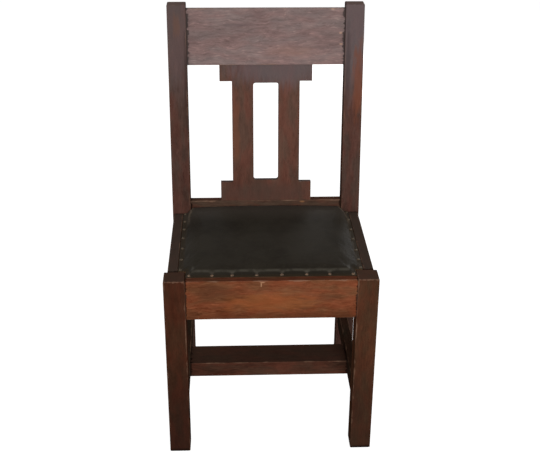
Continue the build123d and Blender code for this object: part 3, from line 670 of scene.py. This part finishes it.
def notch_grid(piece, inset):
    """Snap a grid's lines to the notches at the legs and posts, and cut the corners away."""
    corner_leg = (leg_notch[0] - inset, leg_notch[1] + inset)
    corner_post = (post_notch[0] - inset, post_notch[1] - inset)
    columns = sorted({round(v.co.x, 5) for v in piece.data.vertices})
    rows = sorted({round(v.co.y, 5) for v in piece.data.vertices})
    cut_column = min(columns, key=lambda x: abs(x - corner_leg[0]))
    leg_row = min(rows, key=lambda y: abs(y - corner_leg[1]))
    post_row = min(rows, key=lambda y: abs(y - corner_post[1]))
    for vertex in piece.data.vertices:
        x, y = vertex.co.x, vertex.co.y
        if abs(y - leg_row) < 1e-4:
            vertex.co.y = corner_leg[1]
        if abs(y - post_row) < 1e-4:
            vertex.co.y = corner_post[1]
        if abs(abs(x) - cut_column) < 1e-4:
            share = (vertex.co.y - corner_leg[1]) / (corner_post[1] - corner_leg[1])
            share = min(max(share, 0.0), 1.0)
            vertex.co.x = math.copysign(corner_leg[0] + (corner_post[0] - corner_leg[0]) * share, x)
    cut = bmesh.new()
    cut.from_mesh(piece.data)
    gone = []
    for face in cut.faces:
        centre = face.calc_center_median()
        beside_leg = abs(centre.x) > corner_leg[0] and centre.y < corner_leg[1]
        beside_post = abs(centre.x) > corner_post[0] and centre.y > corner_post[1]
        if beside_leg or beside_post:
            gone.append(face)
    bmesh.ops.delete(cut, geom=gone, context="FACES")
    cut.to_mesh(piece.data)
    cut.free()


strip_middle = [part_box(f"webbing_long_{number}") for number in (1, 2, 3)]
strip_across = [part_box(f"webbing_cross_{number}") for number in (1, 2, 3)]
burlap_cell = 0.005
burlap_inset = 0.004
burlap_dip = 0.0014
dip_run = 0.018
frame_inner = 0.154
burlap_width = burlap_high.x - burlap_low.x - 2 * burlap_inset
burlap_length = burlap_high.y - burlap_low.y - burlap_inset
burlap = new_grid(
    "seat_burlap_cloth", (-burlap_width / 2, burlap_high.y - burlap_length),
    (burlap_width / 2, burlap_high.y), burlap_high.z, burlap_cell)
notch_grid(burlap, burlap_low.y + burlap_inset - seat_front)
for vertex in burlap.data.vertices:
    off_long = min(max(box[0].x - vertex.co.x, vertex.co.x - box[1].x, 0.0) for box in strip_middle)
    off_cross = min(max(box[0].y - vertex.co.y, vertex.co.y - box[1].y, 0.0) for box in strip_across)
    open_square = ease(off_long / dip_run) * ease(off_cross / dip_run)
    inside_frame = ease((frame_inner - abs(vertex.co.x)) / 0.02)
    vertex.co.z -= burlap_dip * open_square * inside_frame
apply_modifier(burlap, "SOLIDIFY", thickness=0.0006, offset=-1.0)
smooth(burlap)
burlap.data.materials.append(woven("coarse_burlap", 420.0, shade(88, 68, 44), shade(168, 138, 96)))
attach(burlap, "root")
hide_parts("seat_burlap")


# Leather seat
# One hide, stretched over the stuffing, tacked through a flat border in front and at the sides.
# At the rear it turns down behind the seat frame and under it. Black, worn grey and brown, with painted
# highlights and shade on the front roll and painted light towards the rear.
leather_thickness = 0.002
border_top = frame_top + leather_thickness
leather_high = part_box("seat_leather")[1].z
leather_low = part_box("seat_leather")[0].z
crown_height = 0.005
roll_height = leather_high - border_top - crown_height
roll_foot = 0.0085
roll_width = 0.0095
side_roll_width = 0.028
steeper_at_rear = 0.6
post_roll_width = 0.004
rear_roll = 0.008
roundness = 0.6
front_lap = 0.00095
leather_cell = 0.0028
leather = new_grid(
    "seat_leather_hide", (-seat_half, seat_front), (seat_half, seat_rear), border_top, leather_cell)
notch_grid(leather, 0.0)


def loose_parts(node):
    """Boxes of a CAD node's separate solids, read from a merged copy of its mesh."""
    merged = bmesh.new()
    merged.from_mesh(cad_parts[node].data)
    bmesh.ops.remove_doubles(merged, verts=merged.verts, dist=1e-6)
    unseen = set(merged.verts)
    boxes = []
    while unseen:
        part = []
        edge_of_search = [unseen.pop()]
        while edge_of_search:
            vertex = edge_of_search.pop()
            part.append(vertex.co.copy())
            for edge in vertex.link_edges:
                other = edge.other_vert(vertex)
                if other in unseen:
                    unseen.remove(other)
                    edge_of_search.append(other)
        boxes.append(tuple(Vector(tuple(pick(co[axis] for co in part) for axis in range(3)))
                           for pick in (min, max)))
    merged.free()
    return boxes


tack_rows = {row: loose_parts(f"leather_tacks_{row}") for row in ("front", "left", "right")}
tack_places = {row: [(low + high) / 2 for low, high in boxes] for row, boxes in tack_rows.items()}
pucker_width = 0.0055
pucker_length = 0.03
pucker_depth = {"front": 0.0035, "left": 0.0015, "right": 0.0015}


def pucker(x, y):
    """How near a point of the hide is to a tack's line, from 0 to 1, and how far that pulls it in."""
    most = 0.0
    pull = 0.0
    for row, places in tack_places.items():
        for place in places:
            along, inwards = x - place.x, y - place.y
            if row != "front":
                along, inwards = inwards, abs(along)
            if inwards < pucker_length:
                near = math.exp(-(along / pucker_width) ** 2) * ease(1 - inwards / pucker_length)
                most = max(most, near)
                pull = max(pull, near * pucker_depth[row])
    return most, pull


def from_notches(x, y):
    """Distances from a point of the hide to the notch at a leg and to the one at a post."""
    to_leg = math.hypot(max(leg_notch[0] - abs(x), 0.0), max(y - leg_notch[1], 0.0))
    to_post = math.hypot(max(post_notch[0] - abs(x), 0.0), max(post_notch[1] - y, 0.0))
    return to_leg, to_post


def from_cut_edge(x, y):
    """Distance from a point of the hide to its cut edge at the front, the sides and the notches."""
    return min(seat_half - abs(x), y - seat_front, *from_notches(x, y))


def crown(x, y):
    """Share of the seat's crown at a point, less at the front than at the rear."""
    rear_fall = 0.25
    along_x = 1 - (x / (seat_half - roll_foot)) ** 2
    middle_y = (seat_front + seat_rear) / 2
    reach = middle_y - seat_front - roll_foot
    offset = (y - middle_y) / reach
    along_y = 1 - (offset ** 2 if offset < 0 else rear_fall * offset ** 2)
    return max(along_x, 0.0) * max(along_y, 0.0)


def soft_least(first, second, blend=0.004):
    """The lesser of two distances, rounded where they are nearly the same."""
    apart = math.exp(-abs(first - second) / blend)
    return min(first, second) - blend * math.log(1 + apart) + blend * math.log(2) * apart


def rise(x, y, slack):
    """Share of the roll's height at a point, for the hide or for what lies a little inside it."""
    start = roll_foot + slack + pucker(x, y)[1]
    to_leg, to_post = from_notches(x, y)
    inwards = soft_least(y - seat_front, to_leg + 0.004)
    side_width = side_roll_width * (1 - steeper_at_rear * ease((y - 0.03) / 0.08))
    in_front = ease((inwards - start) / roll_width)
    beside = ease((seat_half - abs(x) - start) / side_width)
    at_post = ease((to_post - slack) / post_roll_width)
    return in_front ** roundness * beside ** roundness * at_post ** roundness


def front_height(y):
    """Height of the roll at a point, lower along the front, where feet and knees have flattened it."""
    flattened = 0.28
    return roll_height * (1 - flattened + flattened * ease((y - seat_front) / 0.08))


edge_values = []
pucker_values = []
for vertex in leather.data.vertices:
    x, y = vertex.co.x, vertex.co.y
    up = rise(x, y, -0.001)
    vertex.co.z += (front_height(y) + crown_height * crown(x, y)) * up
    edge_values.append(from_cut_edge(x, y))
    pucker_values.append(pucker(x, y)[0])
for vertex in leather.data.vertices:
    into_roll = rear_roll - (seat_rear - vertex.co.y)
    if into_roll > 0 and abs(vertex.co.x) <= post_notch[0] + 1e-5:
        angle = into_roll / rear_roll * math.pi / 2
        drop = rear_roll * (1 - math.cos(angle))
        vertex.co.z = max(vertex.co.z - drop, border_top)
        vertex.co.y = seat_rear - rear_roll + rear_roll * math.sin(angle)

leather.data.attributes.new("from_cut_edge", "FLOAT", "POINT").data.foreach_set("value", edge_values)
leather.data.attributes.new("beside_tack", "FLOAT", "POINT").data.foreach_set("value", pucker_values)


def relax_leather(piece, most_move=0.0012, last_frame=20, tack_reach=0.0045, border_grip=0.35):
    """Stretch the hide over its stuffing: pushed from below, held at the tacks and the rear edge."""
    held = piece.vertex_groups.new(name="held")
    pushed = piece.vertex_groups.new(name="pushed")
    before = [vertex.co.copy() for vertex in piece.data.vertices]
    for vertex, edge in zip(piece.data.vertices, edge_values):
        x, y = vertex.co.x, vertex.co.y
        to_tack = min(math.dist((x, y), place.xy) for row in tack_places.values() for place in row)
        at_rear = seat_rear - y < rear_roll
        in_border = edge < roll_foot * 0.7
        grip = 1.0 if to_tack < tack_reach or at_rear else (border_grip if in_border else 0.0)
        if grip:
            held.add([vertex.index], grip, "REPLACE")
        pushed.add([vertex.index], ease((edge - roll_foot * 0.6) / 0.01), "REPLACE")
    cloth = piece.modifiers.new("cloth", "CLOTH")
    settings = {
        "quality": 6, "mass": 0.5, "tension_stiffness": 30, "compression_stiffness": 30,
        "shear_stiffness": 12, "bending_stiffness": 4, "use_pressure": True,
        "uniform_pressure_force": 1.5, "vertex_group_mass": "held", "vertex_group_pressure": "pushed"}
    for option, value in settings.items():
        setattr(cloth.settings, option, value)
    cloth.settings.effector_weights.gravity = 0
    cloth.collision_settings.use_collision = False
    for number in range(1, last_frame + 1):
        bpy.context.scene.frame_set(number)
    select_only(piece)
    bpy.ops.object.modifier_apply(modifier="cloth")
    for vertex, start in zip(piece.data.vertices, before):
        move = vertex.co - start
        if move.length > most_move:
            vertex.co = start + move * (most_move / move.length)
        vertex.co.z = min(vertex.co.z, leather_high + 0.002)
    bpy.context.scene.frame_set(1)
    piece.vertex_groups.clear()


front_edge = [vertex.index for vertex in leather.data.vertices if vertex.co.y - seat_front < 1e-5]
relax_leather(leather)
for index in front_edge:
    leather.data.vertices[index].co.y = seat_front - front_lap


def extrude(*move):
    """Extrude what is selected in edit mode, and move it."""
    bpy.ops.mesh.extrude_region_move(TRANSFORM_OT_translate={"value": move})


def turn_under(piece):
    """Fold the hide's rear edge down behind the seat frame, then forwards under it."""
    bend, return_step, return_half = 0.0015, 0.0055, 0.1415
    under = leather_low + bend
    select_only(piece)
    bpy.ops.object.mode_set(mode="EDIT")
    bpy.ops.mesh.select_all(action="DESELECT")
    bpy.ops.object.mode_set(mode="OBJECT")
    for vertex in piece.data.vertices:
        vertex.select = seat_rear - vertex.co.y < 1e-4
    bpy.ops.object.mode_set(mode="EDIT")
    bpy.ops.mesh.select_mode(type="VERT")
    start = max(v.co.z for v in piece.data.vertices if seat_rear - v.co.y < 1e-4)
    for fall in (0.35, 0.35, 0.3):
        extrude(0, 0, (under - start) * fall)
    bpy.ops.object.mode_set(mode="OBJECT")
    for vertex in piece.data.vertices:
        if vertex.select:
            vertex.co.z = under
            vertex.select = abs(vertex.co.x) < return_half
    bpy.ops.object.mode_set(mode="EDIT")
    extrude(0, -bend, -bend)
    for _ in range(4):
        extrude(0, -return_step, 0)
    bpy.ops.object.mode_set(mode="OBJECT")


turn_under(leather)
apply_modifier(leather, "SOLIDIFY", thickness=leather_thickness * 0.97, offset=-1.0)
smooth(leather)


def hide_material():
    """Old black leather gone warm: pebbled and creased, rubbed grey with a painted highlight on the
    front roll, painted shade between its tacks, and painted lighter towards the rear.
    """
    material, tree, finish = new_material("black_hide")
    place = object_place(tree)
    edge = put(tree, "ShaderNodeAttribute", attribute_name="from_cut_edge").outputs["Fac"]
    by_tack = put(tree, "ShaderNodeAttribute", attribute_name="beside_tack").outputs["Fac"]
    sideways, to_rear, _ = split(tree, place)
    aside = calc(tree, "ABSOLUTE", sideways)
    from_side = calc(tree, "SUBTRACT", seat_half, aside)
    in_front = ramp(tree, to_rear, seat_front + 0.025, seat_front + 0.04, 1.0, 0.0)
    broad = ramp(tree, noise(tree, place, 12.0, 4.0), 0.35, 0.65)
    fine = noise(tree, place, 120.0, 4.0)

    # The top of the front roll is rubbed and has a painted highlight; its foot has painted shade between
    # the tacks and a painted highlight at each tack, where the hide is pulled
    scuffs = ramp(tree, noise(tree, place, 60.0, 3.0), 0.35, 0.6, 0.3, 0.8)
    rubbed = product(
        tree, ramp(tree, edge, 0.0105, 0.0135), ramp(tree, edge, 0.014, 0.02, 1.0, 0.0),
        in_front, ramp(tree, from_side, 0.022, 0.034), scuffs)
    foot = product(
        tree, ramp(tree, edge, 0.005, 0.009), ramp(tree, edge, 0.011, 0.016, 1.0, 0.0), in_front)
    between = product(tree, foot, ramp(tree, by_tack, 0.1, 0.6, 0.25, 0.0))
    pulled_highlight = product(tree, foot, ramp(tree, by_tack, 0.45, 0.95, 0.0, 0.3))
    border = calc(tree, "MAXIMUM", ramp(tree, edge, 0.004, 0.009, 0.75, 0.0),
                  ramp(tree, from_side, 0.008, 0.014, 0.7, 0.0))

    # A worn line down each side of the rear half, which bends in more at the right post
    line = ramp(tree, sideways, -0.05, 0.05, 0.185, 0.195)
    bend = ramp(tree, sideways, -0.05, 0.05, 0.006, 0.02)
    bend = product(tree, ramp(tree, to_rear, 0.08, 0.14), bend)
    waver = 0.006
    off_line = calc(tree, "SUBTRACT", aside, calc(tree, "SUBTRACT", line, bend))
    off_line = calc(tree, "SUBTRACT", off_line, waver / 2)
    off_line = calc(tree, "MULTIPLY_ADD", noise(tree, place, 55.0, 3.0), waver, off_line)
    worn_line = product(
        tree, ramp(tree, calc(tree, "ABSOLUTE", off_line), 0.0004, 0.005, 1.0, 0.0),
        ramp(tree, to_rear, 0.04, 0.11, 0.0, 0.85),
        ramp(tree, noise(tree, place, 50.0, 3.0), 0.35, 0.6, 0.5, 1.0))

    colour = shade(43, 39, 34)
    # Layers of colour; the rub on the roll and the marks at the tacks also carry painted highlight and
    # painted shade.
    for mask, tint in (
        (broad, shade(52, 48, 42)),
        (ramp(tree, fine, 0.5, 0.8, 0.0, 0.5), shade(58, 54, 47)),
        (rubbed, shade(76, 72, 64)),
        (between, shade(38, 35, 31)),
        (pulled_highlight, shade(100, 90, 80)),
        (border, shade(56, 48, 38)),
        (ramp(tree, edge, 0.0003, 0.0012, 0.6, 0.0), shade(64, 52, 40)),
        # Painted light: lighter towards the rear of the seat.
        (ramp(tree, to_rear, 0.03, 0.13, 0.0, 0.55), shade(82, 75, 69)),
        (worn_line, shade(116, 102, 88)),
    ):
        colour = blend_colour(tree, mask, colour, tint)

    pebbles = put(tree, "ShaderNodeTexVoronoi", {"Vector": place, "Scale": 900.0}).outputs["Distance"]
    cells = {"Vector": place, "Scale": 70.0}
    creases = put(tree, "ShaderNodeTexVoronoi", cells, feature="DISTANCE_TO_EDGE").outputs["Distance"]
    creases = ramp(tree, creases, 0.0, 0.05, 1.0, 0.0)
    height = calc(tree, "MULTIPLY_ADD", creases, -0.6, product(tree, pebbles, 0.7))
    rough = calc(tree, "MULTIPLY_ADD", rubbed, -0.12, calc(tree, "MULTIPLY_ADD", fine, 0.2, 0.5))
    fill_sockets(tree, finish, {
        "Base Color": colour, "Roughness": rough, "Normal": bumps(tree, height, 0.3, 0.0004),
        "Specular IOR Level": 0.03, "Coat Weight": product(tree, rubbed, 0.08),
        "Coat Roughness": 0.35})
    return material


leather.data.materials.append(hide_material())
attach(leather, "root")
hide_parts("seat_leather")


# Stuffing
# A firm pad of curled hair and cotton on the burlap, which fills the seat under the hide.
# It is never seen from outside, and takes its crown from the hide.
stuffing_low, stuffing_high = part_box("seat_padding")
stuffing_cell = 0.006
side_slack = 0.009
front_slack = 0.005
hide_gap = 0.0022
inside_roll = 0.0035
rear_share = 0.55
stuffing = new_grid(
    "seat_stuffing", (stuffing_low.x + side_slack, stuffing_low.y + front_slack),
    (stuffing_high.x - side_slack, stuffing_high.y), 0.0, stuffing_cell)
notch_grid(stuffing, stuffing_low.y + front_slack - seat_front)
for vertex in stuffing.data.vertices:
    x, y = vertex.co.x, vertex.co.y
    up = rise(x, y, inside_roll)
    up *= rear_share + (1 - rear_share) * ease((seat_rear - 0.003 - y) / rear_roll)
    top = border_top + (front_height(y) + crown_height * crown(x, y)) * up
    vertex.co.z = max(top - leather_thickness - hide_gap, burlap_high.z + 0.001)
select_only(stuffing)
bpy.ops.object.mode_set(mode="EDIT")
bpy.ops.mesh.select_all(action="SELECT")
bpy.ops.mesh.region_to_loop()
extrude(0, 0, -0.001)
bpy.ops.object.mode_set(mode="OBJECT")
for vertex in stuffing.data.vertices:
    if vertex.select:
        vertex.co.z = burlap_high.z + 0.0002
bpy.ops.object.mode_set(mode="EDIT")
bpy.ops.mesh.edge_face_add()
bpy.ops.mesh.select_all(action="SELECT")
bpy.ops.mesh.normals_make_consistent(inside=False)
bpy.ops.object.mode_set(mode="OBJECT")
smooth(stuffing)


def stuffing_material():
    """Matted hair and cotton."""
    material, tree, finish = new_material("hair_and_cotton")
    place = object_place(tree)
    tufts = noise(tree, place, 90.0, 6.0)
    hairs = noise(tree, place, 700.0, 2.0, (1.0, 0.2, 1.0))
    colour = blend_colour(tree, tufts, shade(78, 62, 44), shade(176, 158, 126))
    colour = blend_colour(tree, ramp(tree, hairs, 0.5, 0.7, 0.0, 0.6), colour, shade(52, 40, 30))
    fill_sockets(tree, finish, {
        "Base Color": colour, "Roughness": 1.0, "Normal": bumps(tree, tufts, 0.8, 0.001)})
    return material


stuffing.data.materials.append(stuffing_material())
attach(stuffing, "root")
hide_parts("seat_padding")


# Leather tacks
# Domed tacks of dulled brass, eight in front and seven at each side, each hammered in a little askew.
# One tack is modelled, and each row is copies of it.
def metal(name, base, dirt, rough):
    """Dull metal, stained in patches that shine less."""
    material, tree, finish = new_material(name)
    stain = noise(tree, object_place(tree), 260.0, 4.0)
    fill_sockets(tree, finish, {
        "Base Color": blend_colour(tree, ramp(tree, stain, 0.4, 0.65), base, dirt),
        "Roughness": calc(tree, "MULTIPLY_ADD", stain, 0.3, rough),
        "Metallic": ramp(tree, stain, 0.35, 0.7, 0.9, 0.35),
        "Normal": bumps(tree, stain, 0.3, 0.0003)})
    return material


head_radius = 0.004
head_height = 0.0022
shank_radius = 0.0009
shank_length = 0.012
point_share = 0.2
most_lean = 0.06
dome_radius = (head_radius ** 2 + head_height ** 2) / (2 * head_height)


def model_tack(name):
    """A tack on its point, with the underside of its head at height zero."""
    deselect()
    bpy.ops.mesh.primitive_uv_sphere_add(
        segments=20, ring_count=40, radius=dome_radius, location=(0, 0, head_height - dome_radius))
    tack = bpy.context.object
    tack.name = name
    bpy.ops.object.transform_apply(location=True, rotation=True, scale=True)
    bpy.ops.object.mode_set(mode="EDIT")
    bpy.ops.mesh.select_all(action="SELECT")
    bpy.ops.mesh.bisect(plane_co=(0, 0, 0), plane_no=(0, 0, 1), clear_inner=True, use_fill=True)
    bpy.ops.mesh.select_mode(type="FACE")
    bpy.ops.mesh.inset(thickness=head_radius - shank_radius)
    for share in (1 - point_share, point_share):
        extrude(0, 0, -shank_length * share)
    bpy.ops.transform.resize(value=(0.2, 0.2, 1.0))
    bpy.ops.object.mode_set(mode="OBJECT")
    return tack


def copies(model, name, matrices):
    """One piece made of copies of a model, each placed by its own matrix."""
    placed = []
    for matrix in matrices:
        one = bpy.data.objects.new(name, model.data.copy())
        bpy.context.scene.collection.objects.link(one)
        one.data.transform(matrix)
        placed.append(one)
    deselect()
    for one in placed:
        one.select_set(True)
    bpy.context.view_layer.objects.active = placed[0]
    bpy.ops.object.join()
    piece = bpy.context.object
    piece.name = name
    return piece


tack_model = model_tack("tack_model")
dull_brass = metal("dull_brass", shade(122, 100, 82), shade(62, 50, 40), 0.45)
grimy_brass = metal("grimy_brass", shade(88, 76, 62), shade(56, 48, 38), 0.5)
for row, boxes in tack_rows.items():
    matrices = []
    for number, (low, high) in enumerate(sorted(boxes, key=lambda box: (box[0].x, box[0].y))):
        lean = most_lean * math.sin(7 * number + len(row))
        askew = most_lean * math.cos(5 * number + len(row))
        seat = Vector(((low.x + high.x) / 2, (low.y + high.y) / 2, border_top + 0.0001))
        matrices.append(Matrix.Translation(seat) @ Matrix.Rotation(lean, 4, "X")
                        @ Matrix.Rotation(askew, 4, "Y") @ Matrix.Rotation(number, 4, "Z"))
    tacks = copies(tack_model, f"tack_row_{row}", matrices)
    smooth(tacks)
    tacks.data.materials.append(dull_brass if row == "front" else grimy_brass)
    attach(tacks, "root")
    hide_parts(f"leather_tacks_{row}")
bpy.data.objects.remove(tack_model)


# Hidden tacks and screws
# Blued tacks hold the webbing and the leather's rear edge under the seat.
# Steel screws hold the corner blocks to the rails, and the seat frame to the blocks.
blued_steel = metal("blued_steel", shade(72, 74, 82), shade(48, 40, 36), 0.4)
for node in ("webbing_tacks", "leather_tacks_rear"):
    dress(node, blued_steel)
grey_steel = metal("grey_steel", shade(150, 148, 144), shade(96, 78, 62), 0.35)
for node in ("corner_block_screws", "seat_frame_screws"):
    dress(node, grey_steel)


# Studio
# A pale floor and a white surround, with a broad soft light in front and weaker ones all round.
# Camera, mirror and glass rays see plain white, and the chair gets only a part of that light.
floor_colour = (0.62, 0.62, 0.62, 1.0)
white = (1.0, 1.0, 1.0, 1.0)
floor_glow = 0.84
surround_light = 0.26


def white_to_the_eye(tree):
    """1 for camera, mirror and glass rays, and 0 for the light that falls on the chair."""
    paths = put(tree, "ShaderNodeLightPath").outputs
    seen = calc(tree, "MAXIMUM", paths["Is Camera Ray"], paths["Is Glossy Ray"])
    return calc(tree, "MAXIMUM", seen, paths["Is Transmission Ray"])


deselect()
bpy.ops.mesh.primitive_plane_add(size=40, location=(0, 0, 0))
floor = bpy.context.object
floor.name = "floor"
floor_material, tree, floor_finish = new_material("pale_floor")
fill_sockets(tree, floor_finish, {
    "Base Color": floor_colour, "Roughness": 1.0, "Specular IOR Level": 0.0, "Emission Color": white,
    "Emission Strength": product(tree, white_to_the_eye(tree), floor_glow)})
seen_from_below = put(tree, "ShaderNodeNewGeometry").outputs["Backfacing"]
clear = put(tree, "ShaderNodeBsdfTransparent").outputs["BSDF"]
floor_or_clear = put(tree, "ShaderNodeMixShader", {
    0: seen_from_below, 1: floor_finish.outputs["BSDF"], 2: clear}).outputs["Shader"]
fill_sockets(tree, tree.nodes["Material Output"], {"Surface": floor_or_clear})
floor.data.materials.append(floor_material)

world = bpy.data.worlds.new("studio")
bpy.context.scene.world = world
world.use_nodes = True
tree = world.node_tree
fill_sockets(tree, tree.nodes["Background"], {
    "Color": white, "Strength": ramp(tree, white_to_the_eye(tree), 0.0, 1.0, surround_light, 1.0)})


def soft_light(name, place, aim, size, power):
    """A square area light that faces a point."""
    deselect()
    bpy.ops.object.light_add(type="AREA", location=place)
    light = bpy.context.object
    light.name = name
    light.data.size = size
    light.data.energy = power
    light.rotation_euler = (Vector(aim) - Vector(place)).to_track_quat("-Z", "Y").to_euler()


soft_light("front_light", (0.35, -3.0, 1.75), (0, 0, 0.55), 1.4, 56)
soft_light("left_light", (-2.6, -1.8, 1.6), (0, 0, 0.5), 1.5, 14)
soft_light("right_light", (2.8, 0.3, 0.6), (0, 0, 0.45), 1.1, 10)
soft_light("rear_light", (1.2, 3.0, 0.9), (0, 0, 0.5), 1.7, 24)

# Camera, where the photograph was taken from: above seat height and a little to the left
camera_place = (-0.0781, -2.0503, 1.4528)
camera_yaw, camera_pitch, camera_roll = (math.radians(degrees) for degrees in (2.309, 25.641, 0.341))
bpy.ops.object.camera_add()
camera = bpy.context.object
camera.data.lens = 65.92
camera.data.sensor_width = 36
camera.matrix_world = (
    Matrix.Translation(camera_place) @ Matrix.Rotation(-camera_yaw, 4, "Z")
    @ Matrix.Rotation(math.pi / 2 - camera_pitch, 4, "X") @ Matrix.Rotation(camera_roll, 4, "Z"))
bpy.context.scene.camera = camera
bpy.context.scene.view_settings.view_transform = "Standard"
